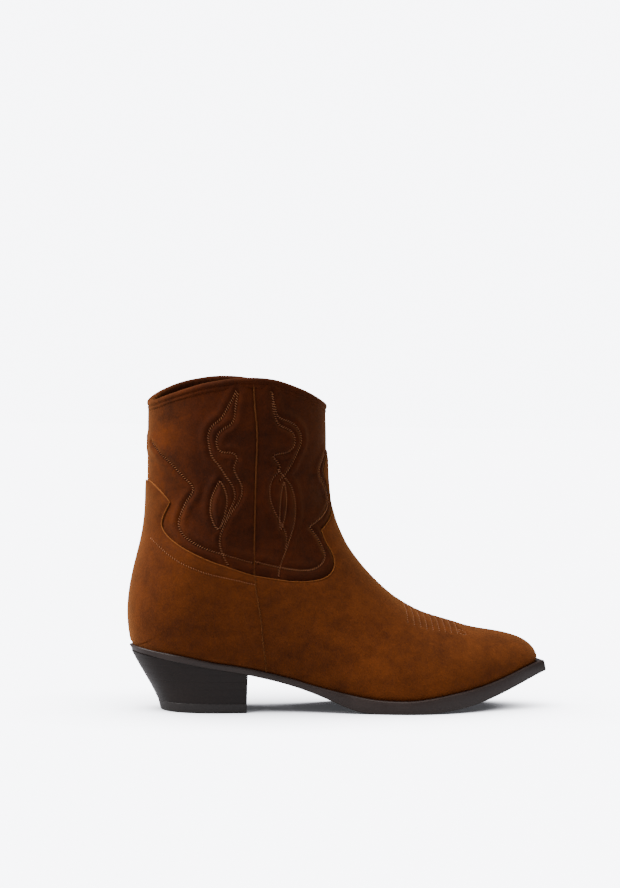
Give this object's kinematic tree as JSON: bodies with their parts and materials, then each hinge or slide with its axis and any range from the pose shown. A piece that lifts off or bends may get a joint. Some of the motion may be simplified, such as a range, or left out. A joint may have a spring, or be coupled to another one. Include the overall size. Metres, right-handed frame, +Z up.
{
  "type": "cowboy boot",
  "caption": "Ankle-height western pull-on boot for a right foot, in suede with stitched scroll pattern, pointed snip toe and slanted stacked heel.",
  "frame": {"origin": "centre of the bounding box in plan, on the ground under the boot", "axes": "+X from the heel to the toe, +Z up, -Y to the outer side of the foot"},
  "size_m": [0.2802, 0.0888, 0.2153],
  "materials": {
    "outer_suede": "napped suede",
    "shaft_suede": "napped suede, darker",
    "lining": "smooth matt",
    "stiffening": "matt",
    "insole": "matt",
    "sock": "smooth matt",
    "pad": "soft matt",
    "cork": "granular matt",
    "steel": "plain",
    "brass": "plain",
    "sole_leather": "edge dyed, satin",
    "heel_leather": "stacked and dyed, satin",
    "tread_rubber": "satin"
  },
  "bodies": {
    "root": {"vamp": "outer_suede", "counter": "outer_suede", "shaft_front": "shaft_suede", "shaft_back": "shaft_suede", "heel_stiffener": "stiffening", "toe_puff": "stiffening", "vamp_interlining": "stiffening", "lining_front": "lining", "lining_back": "lining", "lining_vamp": "lining", "lining_heel": "lining", "top_binding": "shaft_suede", "side_piping_outer": "outer_suede", "side_piping_inner": "outer_suede", "insole_board": "insole", "sock_lining": "sock", "heel_pad": "pad", "steel_shank": "steel", "bottom_filler": "cork", "outsole": "sole_leather", "heel_block": "heel_leather", "top_lift": "tread_rubber", "heel_nails": "steel", "heel_screw": "steel", "top_lift_pins": "brass"}
  },
  "joints": []
}
